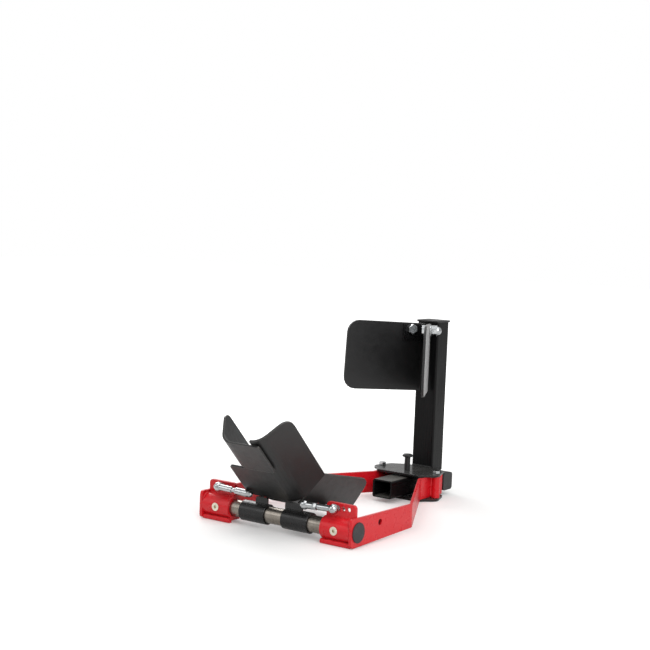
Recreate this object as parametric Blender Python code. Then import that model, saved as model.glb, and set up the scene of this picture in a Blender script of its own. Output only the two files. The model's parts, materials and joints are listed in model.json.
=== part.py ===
# Drive-in wheel clamp for a motorcycle: rocking cradle on a cross shaft, side arms, base and wheel post.
# Metres, +Z up. +Y is the way the wheel rolls in and the cross shaft lies along X.
# Sizes are counted from the floor point under the shaft; at the end all pieces move to the box's middle.
import math

import bmesh
import bpy
from mathutils import Matrix, Vector

# Fits, edges and how far a cut runs past a face
GAP = 0.0003
RUN = 0.0004
BEVEL = 0.0006
CHAMFER = 0.001
FINE_CHAMFER = 0.0008
PAST = 0.004

# Cross shaft, its end plugs and its clamp screws
SHAFT_D = 0.032
SHAFT_WALL = 0.0032
SHAFT_Z = 0.028
PLUG_D = 0.038
PLUG_LIP = 0.0025
PLUG_DEPTH = 0.012
SCREW_D = 0.010
SCREW_HEAD_D = 0.016
SCREW_LENGTH = 0.016
SCREW_SOCKET = 0.006
SOCKET_DEPTH = 0.005

# Side arms: tapered flat bar, bent inwards to the hinge
ARM_T = 0.006
ARM_X = 0.179
ARM_FRONT_Y = -0.021
ARM_BEND_Y = 0.186
HINGE_Y = 0.463
KNEE_AHEAD = 0.050
ARM_KNEE_Y = HINGE_Y - KNEE_AHEAD
ARM_TAIL = 0.042
ARM_END_Y = HINGE_Y + ARM_TAIL
ARM_END_X = 0.060
ARM_FRONT_LOW = 0.001
ARM_FRONT_TOP = 0.0545
ARM_REAR_LOW = 0.0060
ARM_REAR_TOP = 0.0514
ARM_CORNER = 0.007
ARM_CORNER_STEPS = (0.0, 0.15, 0.45, 0.8)
ARM_BEND_R = 0.014
ARM_HOLE_D = 0.012
ARM_HOLE_Y = 0.073
ARM_HOLE_Z = 0.0357

# End blocks: sheet wrapped round the shaft, with a holed tab on top and a lip below
BLOCK_X = 0.108
BLOCK_WALL = 0.0058
LIP_FRONT = 0.0183
LIP_DEEP = 0.010
LIP_BACK = 0.016
LIP_H = 0.0090
FOOT_LIFT = 0.004
LIP_R = 0.003
TAB_T = 0.006
TAB_TOP = 0.0755
TAB_R = 0.007
TAB_HOLE_D = 0.0095
TAB_HOLE_Z = 0.066
TAB_HOLE_X = {"left": 0.1270, "right": 0.1325}
TAB_HOLE_PITCH = 0.012
TAB_HOLES = 3

# Rocking cradle: two bent sheets whose flaps pass between each other
SHEET_T = 0.004
CRADLE_X = -0.004
CRADLE_AHEAD = 0.0075
CRADLE_TILT = 28.5
NEAR_LEG = 0.194
LEG_RISE = 17.0
FLOOR_D = 0.0294
FLOOR_STEP = SHEET_T + 0.0005
FOLD_X = 0.042
FOLD_R = 0.030
FOLD_STEPS = 5
WALL_FLARE = 28.0
WALL_W = 0.071
WALL_R = 0.022
WALL_LIFT = 0.005
NEAR_FLAP = (0.0155, 0.103)
NEAR_REACH = 0.0715
NEAR_CORNERS = (0.016, 0.005)
FAR_LEG = 0.185
FAR_FLAP = (0.1105, FAR_LEG)
FAR_REACH = 0.043
FAR_CORNERS = (0.006, 0.006)
FLAP_SLOT = 0.003
WEB_HALF = 0.004
BUSH_WALL = 0.004
BUSH_D = SHAFT_D + 2 * BUSH_WALL
BUSH_X = 0.020
BUSH_L = 0.060

# Adjusting links between the tabs and the cradle
LINK_Z = TAB_HOLE_Z
LINK_Y = -0.0135
LINK_HOLE = {"left": 1, "right": 0}
LINK_DROP = 1.7
LINK_BALL_X = {"left": 0.058, "right": 0.072}
HEAD_R = 0.0096
TIP_R = {"left": 0.0064, "right": 0.0092}
SHANK_R = 0.0062
SHANK_L = 0.034
NECK_R = 0.0042
NECK_L = 0.008
SLEEVE_R = 0.0068
LOCK_NUT_SIDE = "right"
LINK_NUT_AF = 0.013
LINK_NUT_H = 0.0055
STUD_R = 0.004
STUD_COLLAR_R = 0.0062
STUD_NECK_R = 0.0025
STUD_NUT_H = 0.0065
STUD_OUT = 0.0025
STUD_SINK = 0.0005
LUG_T = 0.004
LUG_X = 0.021
LUG_R = 0.004
LUG_BACK = 0.0021
LUG_CLEAR = 0.0025

# Base
LOWER_T = 0.005
UPPER_Z = 0.052
UPPER_T = 0.005
PLATE_AHEAD = 0.047
PLATE_FRONT_Y = HINGE_Y - PLATE_AHEAD
PLATE_FRONT_X = 0.052
PLATE_X = 0.0800
PLATE_BACK_X = 0.044
EAR_IN = 0.012
EAR_SHIFT = 0.004
SHOULDER_X = 0.023
SHOULDER_Y = 0.020
PLATE_NOTCH = 0.005
BARREL_R = 0.0093
HINGE_X = ARM_END_X + BARREL_R - 0.0008
BOLT_D = 0.008
BOLT_AF = 0.0145
BOLT_HEAD_H = 0.0065
SPINE_W = 0.047
SPINE_LOW = 0.0095
SPINE_TOP = 0.0478
SPINE_FRONT_Y = 0.357
TUBE_WALL = 0.003
TUBE_R = 0.004
PIN_D = 0.0125
PIN_HEAD_D = 0.0225
PIN_HEAD_Z = 0.0858
PIN_HEAD_H = 0.0066
PIN_CHAMFER = 0.0015
PIN_AHEAD = 0.008
PIN_Y = HINGE_Y - PIN_AHEAD

# Rear beam, post and caps
POST_W = 0.052
POST_D = 0.047
POST_BEHIND = 0.053
POST_Y = HINGE_Y + POST_BEHIND
POST_TOP = 0.376
BEAM_X = 0.053
BEAM_LOW = SPINE_LOW
BEAM_H = SPINE_TOP - SPINE_LOW
BEAM_D = 0.039
BEAM_R = 0.007
BEAM_CAP_T = 0.004
CAP_T = 0.004
CAP_OVER = 0.0025
CAP_SPIGOT = 0.018
CAP_EDGE = 0.0015

# Wheel holder: two plates in a V on a folded bracket
HOLDER_ANGLE = 28.0
HOLDER_X = 0.004
HOLDER_AHEAD = 0.005
HOLDER_Y = POST_Y - HOLDER_AHEAD
HOLDER_L = 0.190
HOLDER_TILT = 2.6
HOLDER_ABOVE = -0.0012
HOLDER_H = 0.1479
HOLDER_TOP = POST_TOP + HOLDER_ABOVE
HOLDER_LOW = HOLDER_TOP - HOLDER_H
HOLDER_T = 0.005
HOLDER_R = 0.027
WING_L = 0.056
WING_DROP = 0.0024
WING_H = 0.0355
WING_TOP = HOLDER_TOP - WING_DROP
WING_LOW = WING_TOP - WING_H
WING_T = 0.004
HOLD_BOLT_S = 0.036
HOLD_BOLT_DROP = 0.0138
HOLD_BOLT_Z = HOLDER_TOP - HOLD_BOLT_DROP
HOLD_BOLT_D = 0.012
HOLD_NUT_AF = 0.020
HOLD_NUT_H = 0.013
HOLD_DOME_R = 0.0094
HOLD_DOME_H = 0.0098
HOLD_DOME_ROOM = 0.004
HOLD_HEAD_H = 0.007
WASHER_D = 0.026
WASHER_T = 0.0025
HOLD_BOLT_OUT = 0.002

SCREW_X = (BLOCK_X + ARM_X - ARM_T) / 2 - 0.001
SIDES = {"left": -1, "right": 1}


def material(name, colour, metallic, roughness):
    mat = bpy.data.materials.new(name)
    mat.use_nodes = True
    shader = mat.node_tree.nodes["Principled BSDF"]
    shader.inputs["Base Color"].default_value = (*colour, 1.0)
    shader.inputs["Metallic"].default_value = metallic
    shader.inputs["Roughness"].default_value = roughness
    mat.diffuse_color = (*colour, 1.0)
    return mat


def shade(mesh, angle=32.0):
    """Smooth shading with edges over the angle kept sharp."""
    work = bmesh.new()
    work.from_mesh(mesh)
    bmesh.ops.recalc_face_normals(work, faces=work.faces)
    for face in work.faces:
        face.smooth = True
    for edge in work.edges:
        if len(edge.link_faces) == 2:
            edge.smooth = edge.calc_face_angle() < math.radians(angle)
    work.to_mesh(mesh)
    work.free()


def solid(name, verts, faces, mat):
    mesh = bpy.data.meshes.new(name)
    mesh.from_pydata([tuple(v) for v in verts], [], faces)
    mesh.update()
    shade(mesh)
    obj = bpy.data.objects.new(name, mesh)
    bpy.context.scene.collection.objects.link(obj)
    obj.data.materials.append(mat)
    return obj


def place(axis, a, b, h):
    """A point from two coordinates across an axis and one along it."""
    if axis == "X":
        return (h, a, b)
    if axis == "Y":
        return (a, h, b)
    return (a, b, h)


def prism(name, outline, low, high, axis, mat):
    n = len(outline)
    verts = [place(axis, a, b, low) for a, b in outline]
    verts += [place(axis, a, b, high) for a, b in outline]
    faces = [tuple(range(n)), tuple(range(2 * n - 1, n - 1, -1))]
    faces += [(i, (i + 1) % n, n + (i + 1) % n, n + i) for i in range(n)]
    return solid(name, verts, faces, mat)


def tube(name, outer, inner, low, high, axis, mat):
    """A hollow bar between two outlines that hold as many points each."""
    n = len(outer)
    verts = [place(axis, a, b, h) for h in (low, high) for a, b in outer]
    verts += [place(axis, a, b, h) for h in (low, high) for a, b in inner]
    faces = []
    for i in range(n):
        j = (i + 1) % n
        faces.append((i, j, n + j, n + i))
        faces.append((2 * n + i, 3 * n + i, 3 * n + j, 2 * n + j))
        faces.append((i, 2 * n + i, 2 * n + j, j))
        faces.append((n + i, n + j, 3 * n + j, 3 * n + i))
    return solid(name, verts, faces, mat)


def rounded(x0, y0, x1, y1, radius, steps=4):
    """A rectangle with rounded corners."""
    points = []
    corners = ((x1, y1, 0), (x0, y1, 90), (x0, y0, 180), (x1, y0, 270))
    for x, y, start in corners:
        cx = x - math.copysign(radius, x - (x0 + x1) / 2)
        cy = y - math.copysign(radius, y - (y0 + y1) / 2)
        for i in range(steps + 1):
            a = math.radians(start + 90 * i / steps)
            points.append((cx + radius * math.cos(a), cy + radius * math.sin(a)))
    return points


def circle(cx, cy, radius, steps, start=0.0):
    turn = 2 * math.pi / steps
    angles = [start + i * turn for i in range(steps)]
    return [(cx + radius * math.cos(a), cy + radius * math.sin(a)) for a in angles]


def hexagon(across_flats):
    return circle(0, 0, across_flats / math.sqrt(3), 6, math.pi / 6)


def frame_of(origin, direction):
    """A matrix whose Z runs along the direction from the origin."""
    turn = Vector((0, 0, 1)).rotation_difference(Vector(direction).normalized())
    return Matrix.Translation(Vector(origin)) @ turn.to_matrix().to_4x4()


def lathe(name, profile, origin, direction, mat, steps=28):
    """A turned solid: (radius, height) points along the axis, end to end or as a closed ring."""
    m = frame_of(origin, direction)
    closed = profile[0][0] > 0
    verts, rows = [], []
    for r, h in profile:
        if r == 0:
            rows.append([len(verts)] * steps)
            verts.append(m @ Vector((0, 0, h)))
            continue
        rows.append([len(verts) + i for i in range(steps)])
        for i in range(steps):
            a = 2 * math.pi * i / steps
            verts.append(m @ Vector((r * math.cos(a), r * math.sin(a), h)))
    if closed:
        rows.append(rows[0])
    faces = []
    for low, high in zip(rows, rows[1:]):
        for i in range(steps):
            j = (i + 1) % steps
            ring = [low[i], low[j], high[j], high[i]]
            face = tuple(dict.fromkeys(ring))
            if len(face) > 2:
                faces.append(face)
    return solid(name, verts, faces, mat)


def arc_profile(centre, radius, start, end, steps):
    """Points of a round part of a turned profile, heights along the axis, angles from the axis."""
    points = []
    for i in range(steps + 1):
        a = math.radians(start + (end - start) * i / steps)
        r = radius * math.sin(a)
        points.append((0.0 if r < 1e-7 else r, centre - radius * math.cos(a)))
    return points


def boolean(obj, other, operation):
    mod = obj.modifiers.new(operation.title(), "BOOLEAN")
    mod.operation = operation
    mod.solver = "EXACT"
    mod.object = other
    other.hide_render = True
    other.display_type = "WIRE"


def drill(obj, origin, direction, radius, length, steps=24):
    """A round hole of this length from the origin along the direction."""
    name = f"{obj.name}_hole_{len(obj.modifiers)}"
    profile = [(0, 0), (radius, 0), (radius, length), (0, length)]
    boolean(obj, lathe(name, profile, origin, direction, obj.data.materials[0], steps), "DIFFERENCE")


def bevel(obj, width=BEVEL, segments=2, angle=40.0):
    mod = obj.modifiers.new("Edges", "BEVEL")
    mod.width = width
    mod.segments = segments
    mod.limit_method = "ANGLE"
    mod.angle_limit = math.radians(angle)


def hex_solid(name, across_flats, low, high, bore, origin, direction, mat):
    """A hexagon head or, with a bore, a nut along a direction."""
    obj = prism(name, hexagon(across_flats), low, high, "Z", mat)
    obj.data.transform(frame_of(origin, direction))
    if bore:
        start = Vector(origin) + Vector(direction).normalized() * (low - PAST)
        drill(obj, start, direction, bore, high - low + 2 * PAST)
    return obj


def bolt(name, across_flats, head_h, d, length, origin, direction, mat):
    """A hexagon-head bolt: the seat of its head is at the origin and its shank runs along the direction."""
    head = hex_solid(name, across_flats, -head_h, 0, 0, origin, direction, mat)
    bevel(head, BEVEL, 2, 50)
    shank = [(0, -head_h / 2), (d / 2, -head_h / 2)]
    shank += [(d / 2, length - CHAMFER), (d / 2 - CHAMFER, length), (0, length)]
    boolean(head, lathe(name + "_shank", shank, origin, direction, mat, 20), "UNION")
    return head


def build_shaft(mat_steel, mat_plug, mat_zinc):
    half = ARM_X - GAP
    r = SHAFT_D / 2
    ring = [(r, -half), (r, half), (r - SHAFT_WALL, half), (r - SHAFT_WALL, -half)]
    shaft = lathe("shaft", ring, (0, 0, SHAFT_Z), (1, 0, 0), mat_steel, 36)
    inner = r - SHAFT_WALL - GAP
    for side, sign in SIDES.items():
        x = sign * SCREW_X
        drill(shaft, (x, -r - PAST, SHAFT_Z), (0, 1, 0), SCREW_D / 2 + RUN, SHAFT_WALL + 2 * PAST)
        lip = PLUG_D / 2
        plug = [
            (0, -PLUG_DEPTH),
            (inner - CHAMFER, -PLUG_DEPTH),
            (inner, -PLUG_DEPTH + CHAMFER),
            (inner, 0),
            (lip, 0),
            (lip, PLUG_LIP - CHAMFER),
            (lip - CHAMFER, PLUG_LIP),
            (0, PLUG_LIP),
        ]
        lathe(f"shaft_plug_{side}", plug, (sign * (ARM_X + GAP), 0, SHAFT_Z), (sign, 0, 0), mat_plug, 28)
        build_screw(side, x, mat_zinc)


def build_screw(side, x, mat):
    head = SCREW_HEAD_D / 2
    depth = head - SCREW_D / 2
    face = -(SHAFT_D / 2 + BLOCK_WALL)
    profile = [
        (0, 0),
        (head, 0),
        (head, FINE_CHAMFER),
        (SCREW_D / 2, depth + FINE_CHAMFER),
        (SCREW_D / 2, SCREW_LENGTH - CHAMFER),
        (SCREW_D / 2 - CHAMFER, SCREW_LENGTH),
        (0, SCREW_LENGTH),
    ]
    screw = lathe(f"clamp_screw_{side}", profile, (x, face, SHAFT_Z), (0, 1, 0), mat, 28)
    at = (x, face, SHAFT_Z)
    socket = hex_solid(f"socket_{side}", SCREW_SOCKET, -PAST, SOCKET_DEPTH, 0, at, (0, 1, 0), mat)
    boolean(screw, socket, "DIFFERENCE")


def path_points(corners, radius, steps):
    """A plan path with its corners rounded."""
    points = [Vector(corners[0])]
    for before, at, after in zip(corners, corners[1:], corners[2:]):
        at = Vector(at)
        d1 = (at - Vector(before)).normalized()
        d2 = (Vector(after) - at).normalized()
        half = d1.angle(d2) / 2
        run = radius * math.tan(half)
        start, end = at - d1 * run, at + d2 * run
        middle = (start + end) / 2
        bulge = at - middle
        rise = radius * (1 - math.cos(half))
        for i in range(steps + 1):
            t = i / steps
            straight = start.lerp(end, t)
            points.append(straight + bulge.normalized() * rise * (1 - (2 * t - 1) ** 2))
    points.append(Vector(corners[-1]))
    return points


def arm_height(y):
    """The bar's lower and upper edge at a distance along the arm."""
    t = min(max((y - ARM_FRONT_Y) / (ARM_BEND_Y - ARM_FRONT_Y), 0), 1)
    low = ARM_FRONT_LOW + (ARM_REAR_LOW - ARM_FRONT_LOW) * t
    top = ARM_FRONT_TOP + (ARM_REAR_TOP - ARM_FRONT_TOP) * t
    ahead = y - ARM_FRONT_Y
    if ahead < ARM_CORNER:
        back = ARM_CORNER - max(ahead, 0)
        cut = ARM_CORNER - math.sqrt(ARM_CORNER**2 - back**2)
        low += cut
        top -= cut
    return low, top


def build_arm(side, mat):
    sign = SIDES[side]
    mid = ARM_X - ARM_T / 2
    end = ARM_END_X - ARM_T / 2
    front = [(mid, ARM_FRONT_Y + ARM_CORNER * t) for t in ARM_CORNER_STEPS]
    bends = [(mid, ARM_FRONT_Y + ARM_CORNER), (mid, ARM_BEND_Y), (end, ARM_KNEE_Y), (end, ARM_END_Y)]
    path = [Vector(p) for p in front] + path_points(bends, ARM_BEND_R, 4)
    verts, faces = [], []
    for i, p in enumerate(path):
        d1 = (p - path[max(i - 1, 0)]).normalized() if i else (path[1] - p).normalized()
        d2 = (path[i + 1] - p).normalized() if i + 1 < len(path) else d1
        along = (d1 + d2).normalized()
        across = Vector((along.y, -along.x)) * (ARM_T / 2 / max(along.dot(d1), 0.5))
        low, top = arm_height(p.y)
        for q, z in ((p - across, low), (p + across, low), (p + across, top), (p - across, top)):
            verts.append((sign * q.x, q.y, z))
    count = len(path)
    for i in range(count - 1):
        for k in range(4):
            m = (k + 1) % 4
            faces.append((4 * i + k, 4 * i + m, 4 * i + 4 + m, 4 * i + 4 + k))
    faces += [(0, 1, 2, 3), tuple(4 * count - 4 + k for k in (3, 2, 1, 0))]
    arm = solid(f"arm_{side}", verts, faces, mat)
    low = LOWER_T + GAP
    top = UPPER_Z - GAP
    eye = [(0, low), (BARREL_R, low), (BARREL_R, top), (0, top)]
    boolean(arm, lathe(f"barrel_{side}", eye, (sign * HINGE_X, HINGE_Y, 0), (0, 0, 1), mat, 28), "UNION")
    drill(arm, (sign * HINGE_X, HINGE_Y, -PAST), (0, 0, 1), BOLT_D / 2 + RUN, UPPER_Z + 2 * PAST, 20)
    inside = sign * (ARM_X - ARM_T - PAST)
    through = ARM_T + 2 * PAST
    drill(arm, (inside, 0, SHAFT_Z), (sign, 0, 0), SHAFT_D / 2 + GAP, through, 40)
    drill(arm, (inside, ARM_HOLE_Y, ARM_HOLE_Z), (sign, 0, 0), ARM_HOLE_D / 2, through, 20)


def block_outline():
    """The wrapped sheet from the side: round over the shaft, with the lip under its front."""
    r = SHAFT_D / 2 + BLOCK_WALL
    drop = LIP_H - SHAFT_Z
    first = math.degrees(math.atan2(-math.sqrt(r * r - LIP_BACK**2), LIP_BACK))
    last = 180 + math.degrees(math.asin(-drop / r))
    points = []
    steps = 30
    for i in range(steps + 1):
        a = math.radians(first + (last - first) * i / steps)
        points.append((r * math.cos(a), SHAFT_Z + r * math.sin(a)))
    for start, cy, cz in ((90, LIP_R - LIP_FRONT, LIP_H - LIP_R), (180, LIP_R - LIP_FRONT, LIP_R)):
        for i in range(4):
            a = math.radians(start + 30 * i)
            points.append((cy + LIP_R * math.cos(a), cz + LIP_R * math.sin(a)))
    heel = LIP_DEEP - LIP_FRONT
    return points + [(heel, 0.0), (heel, FOOT_LIFT), (LIP_BACK, FOOT_LIFT)]


def build_block(side, mat):
    sign = SIDES[side]
    near, far = sorted((sign * BLOCK_X, sign * (ARM_X - ARM_T - GAP)))
    block = prism(f"end_block_{side}", block_outline(), near, far, "X", mat)
    low = SHAFT_Z + SHAFT_D / 2 + BLOCK_WALL / 2
    outline = rounded(near + GAP, low, far - GAP, TAB_TOP, TAB_R, 5)
    square = [(a, b) if b > (low + TAB_TOP) / 2 else (a, low) for a, b in outline]
    tab = prism(f"tab_{side}", square[:12] + [(near + GAP, low), (far - GAP, low)], 0.0, TAB_T, "Y", mat)
    boolean(block, tab, "UNION")
    through = ARM_X - BLOCK_X + 2 * PAST
    drill(block, (sign * (BLOCK_X - PAST), 0, SHAFT_Z), (sign, 0, 0), SHAFT_D / 2 + GAP, through, 40)
    for i in range(TAB_HOLES):
        x = sign * (TAB_HOLE_X[side] + i * TAB_HOLE_PITCH)
        drill(block, (x, -PAST, TAB_HOLE_Z), (0, 1, 0), TAB_HOLE_D / 2, TAB_T + 2 * PAST, 20)
    face = -(SHAFT_D / 2 + BLOCK_WALL)
    head = SCREW_HEAD_D / 2 + GAP
    neck = SCREW_D / 2 + RUN
    deep = BLOCK_WALL + PAST
    sink = [(0, -PAST), (head, -PAST), (head, FINE_CHAMFER)]
    sink += [(neck, head - neck + FINE_CHAMFER), (neck, deep), (0, deep)]
    sinker = lathe(f"sink_{side}", sink, (sign * SCREW_X, face, SHAFT_Z), (0, 1, 0), mat, 28)
    boolean(block, sinker, "DIFFERENCE")


def leg_place(sign, leg, x, s, d):
    """A cradle point before it is tipped: out from the middle, along a leg, up from the shaft."""
    rise = math.radians(LEG_RISE)
    y = leg * (math.cos(rise) * s - math.sin(rise) * d) - CRADLE_AHEAD
    z = math.sin(rise) * s + math.cos(rise) * d
    return Vector((sign * x, y, z))


def mitre(w, outside=0.0):
    """How far along a leg its wall meets the wall of the other leg, on the inner face or outside it."""
    flare = math.radians(WALL_FLARE)
    d = FLOOR_D + w * math.cos(flare) - outside * math.sin(flare)
    return d * math.tan(math.radians(LEG_RISE))


def wall_pair(sign, leg, s, w):
    """Inner and outer point of a flared wall, w up its slope from the sharp corner the fold would have."""
    flare = math.radians(WALL_FLARE)
    x = FOLD_X + w * math.sin(flare)
    d = FLOOR_D + w * math.cos(flare)
    outer_s = mitre(w, SHEET_T) if s is None else s
    inner = leg_place(sign, leg, x, mitre(w) if s is None else s, d)
    outer = leg_place(sign, leg, x + SHEET_T * math.cos(flare), outer_s, d - SHEET_T * math.sin(flare))
    return inner, outer


def fold_pair(sign, leg, s, t, step):
    """Inner and outer point of the rounded fold from a wall (t = 0) to its lowered flap (t = 1)."""
    flare = math.radians(WALL_FLARE)
    turn = math.pi / 2 - flare
    a = turn * (1 - t)
    x = FOLD_X - step * math.tan(flare) - FOLD_R * math.tan(turn / 2)
    d = FLOOR_D - step + FOLD_R
    radii = (FOLD_R, FOLD_R + SHEET_T)
    return [leg_place(sign, leg, x + r * math.sin(a), s, d - r * math.cos(a)) for r in radii]


def fold_tangent(step):
    """How far up the wall the rounded fold begins."""
    flare = math.radians(WALL_FLARE)
    return FOLD_R * math.tan(math.pi / 4 - flare / 2) - step / math.cos(flare)


def corner_steps(radius):
    """Distances from an edge and how far a rounded corner pulls the other edge back there."""
    turns = [math.radians(a) for a in (0, 30, 60, 90)]
    return [(radius * (1 - math.cos(a)), radius * (1 - math.sin(a))) for a in turns]


def thick_sheet(name, quads, mat):
    """A closed sheet from quads of inner and outer point pairs that share their corners."""
    pairs, index, rings = [], {}, []
    for quad in quads:
        ring = []
        for inner, outer in quad:
            key = tuple(round(c, 6) for c in inner)
            if key not in index:
                index[key] = len(pairs)
                pairs.append((inner, outer))
            if index[key] not in ring:
                ring.append(index[key])
        if len(ring) > 2:
            rings.append(ring)
    n = len(pairs)
    edges = {}
    faces = []
    for ring in rings:
        faces.append(tuple(ring))
        faces.append(tuple(n + i for i in reversed(ring)))
        for i, j in zip(ring, ring[1:] + ring[:1]):
            edges.setdefault((min(i, j), max(i, j)), []).append((i, j))
    for uses in edges.values():
        if len(uses) == 1:
            i, j = uses[0]
            faces.append((j, i, n + i, n + j))
    return solid(name, [p for p, _ in pairs] + [p for _, p in pairs], faces, mat)


def build_half(side, mat):
    """One cradle half: a near flap on one leg, a far flap on the other, so two equal halves interleave."""
    sign = SIDES[side]
    flare = math.radians(WALL_FLARE)
    near_w = fold_tangent(0)
    far_w = fold_tangent(FLOOR_STEP)
    foot_z = math.sqrt((BUSH_D / 2) ** 2 - CRADLE_AHEAD**2)
    foot_d = foot_z * math.cos(math.radians(LEG_RISE)) + SHEET_T * math.sin(flare)
    foot_w = (foot_d - FLOOR_D) / math.cos(flare)
    quads = []

    def grid(lines):
        """Quads between neighbouring points of neighbouring lines."""
        for low, high in zip(lines, lines[1:]):
            for i in range(len(low) - 1):
                quads.append((low[i], low[i + 1], high[i + 1], high[i]))

    def web_edge(w):
        low = mitre(foot_w) + WEB_HALF
        return low + (NEAR_FLAP[0] - low) * (w - foot_w) / (near_w - foot_w)

    def wall_top(s, length):
        over = min(max((s or 0.0) - length + WALL_R, 0.0), WALL_R)
        return WALL_W - WALL_R + math.sqrt(WALL_R**2 - over**2)

    for leg in (-1, 1):
        far = leg == sign
        (begin, end), reach = (FAR_FLAP, FAR_REACH) if far else (NEAR_FLAP, NEAR_REACH)
        first, last = (corner_steps(r) for r in (FAR_CORNERS if far else NEAR_CORNERS))
        step, length = (FLOOR_STEP, FAR_LEG) if far else (0.0, NEAR_LEG)
        pulls = {begin + away: pull for away, pull in first}
        pulls.update({end - away: pull for away, pull in last})
        slot = FAR_FLAP[0] - FLAP_SLOT
        ends = [length - WALL_R * t for t in (1.0, 0.7, 0.45, 0.25, 0.1, 0.02)]
        cuts = sorted({NEAR_FLAP[0], slot, length, *pulls, *ends})

        def wall(s, w):
            return wall_pair(sign, leg, s, w)

        tops = [None, *cuts]
        heights = (0.0, 0.5, 1.0)
        grid([[wall(s, near_w + (wall_top(s, length) - near_w) * t) for s in tops] for t in heights])
        webs = (foot_w, WALL_LIFT, far_w, near_w)
        grid([[wall(None, w), wall(web_edge(w), w)] for w in webs])
        if far:
            for rows, stop in (((WALL_LIFT, far_w), slot), ((far_w, near_w), length)):
                run = [c for c in cuts[1:] if c <= stop]
                grid([[wall(web_edge(w), w)] + [wall(c, w) for c in run] for w in rows])
        bend = [i / FOLD_STEPS for i in range(FOLD_STEPS + 1)]
        folded = [c for c in cuts if begin <= c <= length]
        grid([[fold_pair(sign, leg, s, t, step) for s in folded] for t in bend])
        hem, edge = [], []
        for s in folded:
            if s > end:
                continue
            corner = fold_pair(sign, leg, s, 1.0, step)
            free = [p.copy() for p in corner]
            for p in free:
                p.x = -sign * (reach - pulls.get(s, 0.0))
            hem.append(corner)
            edge.append(free)
        grid([hem, edge])
    half = thick_sheet(f"cradle_{side}", quads, mat)
    tilt = Matrix.Rotation(math.radians(-CRADLE_TILT), 4, "X")
    half.data.transform(Matrix.Translation((CRADLE_X, 0, SHAFT_Z)) @ tilt)


def build_bush(side, mat):
    sign = SIDES[side]
    inner = SHAFT_D / 2 + RUN
    r = BUSH_D / 2 - GAP
    c = FINE_CHAMFER
    ring = [
        (r - c, 0),
        (r, c),
        (r, BUSH_L - c),
        (r - c, BUSH_L),
        (inner, BUSH_L),
        (inner, 0),
    ]
    lathe(f"bush_{side}", ring, (CRADLE_X + sign * BUSH_X, 0, SHAFT_Z), (sign, 0, 0), mat, 32)


def link_line(side):
    """The two ball centres of a link: at the tab first, then at the cradle."""
    sign = SIDES[side]
    hole_x = TAB_HOLE_X[side] + LINK_HOLE[side] * TAB_HOLE_PITCH
    outer = Vector((sign * hole_x, LINK_Y, LINK_Z))
    inner = outer.copy()
    inner.x = CRADLE_X + sign * LINK_BALL_X[side]
    inner.z -= abs(outer.x - inner.x) * math.tan(math.radians(LINK_DROP))
    return outer, inner


def build_lug(side, mat):
    """The upright plate on the bush, under the cradle, that the inner ball of the link pushes."""
    sign = SIDES[side]
    tilt = Matrix.Rotation(math.radians(-CRADLE_TILT), 3, "X")
    flap = tilt @ leg_place(sign, -1, 0, NEAR_FLAP[0], FLOOR_D - SHEET_T)
    end = LINK_BALL_X[side] - TIP_R[side] - LUG_CLEAR
    low, high = sorted(CRADLE_X + sign * x for x in (LUG_X, end))
    foot = SHAFT_Z + BUSH_D / 2 - 2 * PAST
    outline = rounded(low, foot, high, SHAFT_Z + flap.z, LUG_R, 3)
    back = flap.y - LUG_BACK
    lug = prism(f"link_lug_{side}", outline, back - LUG_T, back, "Y", mat)
    drill(lug, (low - PAST, 0, SHAFT_Z), (1, 0, 0), BUSH_D / 2, high - low + 2 * PAST, 64)


def build_link(side, mat_zinc):
    origin, inner = link_line(side)
    along = (inner - origin).normalized()
    length = (inner - origin).length
    tip = TIP_R[side]
    join = min(SLEEVE_R, 0.9 * tip)
    start = math.asin(join / tip)
    neck = SHANK_L + NECK_L
    c = FINE_CHAMFER
    profile = arc_profile(0, HEAD_R, 0, 180 - math.degrees(math.asin(SHANK_R / HEAD_R)), 7)
    profile += [(SHANK_R, SHANK_L - c), (SHANK_R - c, SHANK_L), (NECK_R, SHANK_L)]
    profile += [(NECK_R, neck), (SLEEVE_R - 2 * c, neck), (SLEEVE_R - c / 2, neck + c), (SLEEVE_R, neck + 3 * c)]
    if join < SLEEVE_R:
        profile.append((SLEEVE_R, length - tip * math.cos(start) - 2 * (SLEEVE_R - join)))
    profile += arc_profile(length, tip, math.degrees(start), 180, 5)
    link = lathe(f"link_{side}", profile, origin, along, mat_zinc, 20)
    deep = STUD_NECK_R / 2
    wide = STUD_NECK_R + RUN
    dish = [(0, -deep), (wide, -deep), (wide, 0), (wide + HEAD_R * 0.5, HEAD_R * 1.1), (0, HEAD_R * 1.1)]
    boolean(link, lathe(f"dish_{side}", dish, origin, (0, 1, 0), mat_zinc, 16), "DIFFERENCE")
    if side == LOCK_NUT_SIDE:
        at = origin + along * (neck - GAP - LINK_NUT_H)
        hex_solid(f"link_nut_{side}", LINK_NUT_AF, 0, LINK_NUT_H, NECK_R + GAP, at, along, mat_zinc)
    face = -LINK_Y
    end = face + TAB_T + STUD_NUT_H + STUD_OUT
    stud = [
        (0, STUD_SINK),
        (STUD_NECK_R, STUD_SINK),
        (STUD_NECK_R, HEAD_R + RUN),
        (STUD_COLLAR_R, HEAD_R + RUN),
        (STUD_COLLAR_R, face - GAP),
        (STUD_R, face - GAP),
        (STUD_R, end - CHAMFER),
        (STUD_R - CHAMFER, end),
        (0, end),
    ]
    lathe(f"link_stud_{side}", stud, origin, (0, 1, 0), mat_zinc, 20)
    back = TAB_T + GAP
    seat = (origin.x, 0, origin.z)
    front = back + STUD_NUT_H
    hex_solid(f"stud_nut_{side}", LINK_NUT_AF, back, front, STUD_R + GAP, seat, (0, 1, 0), mat_zinc)


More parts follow.
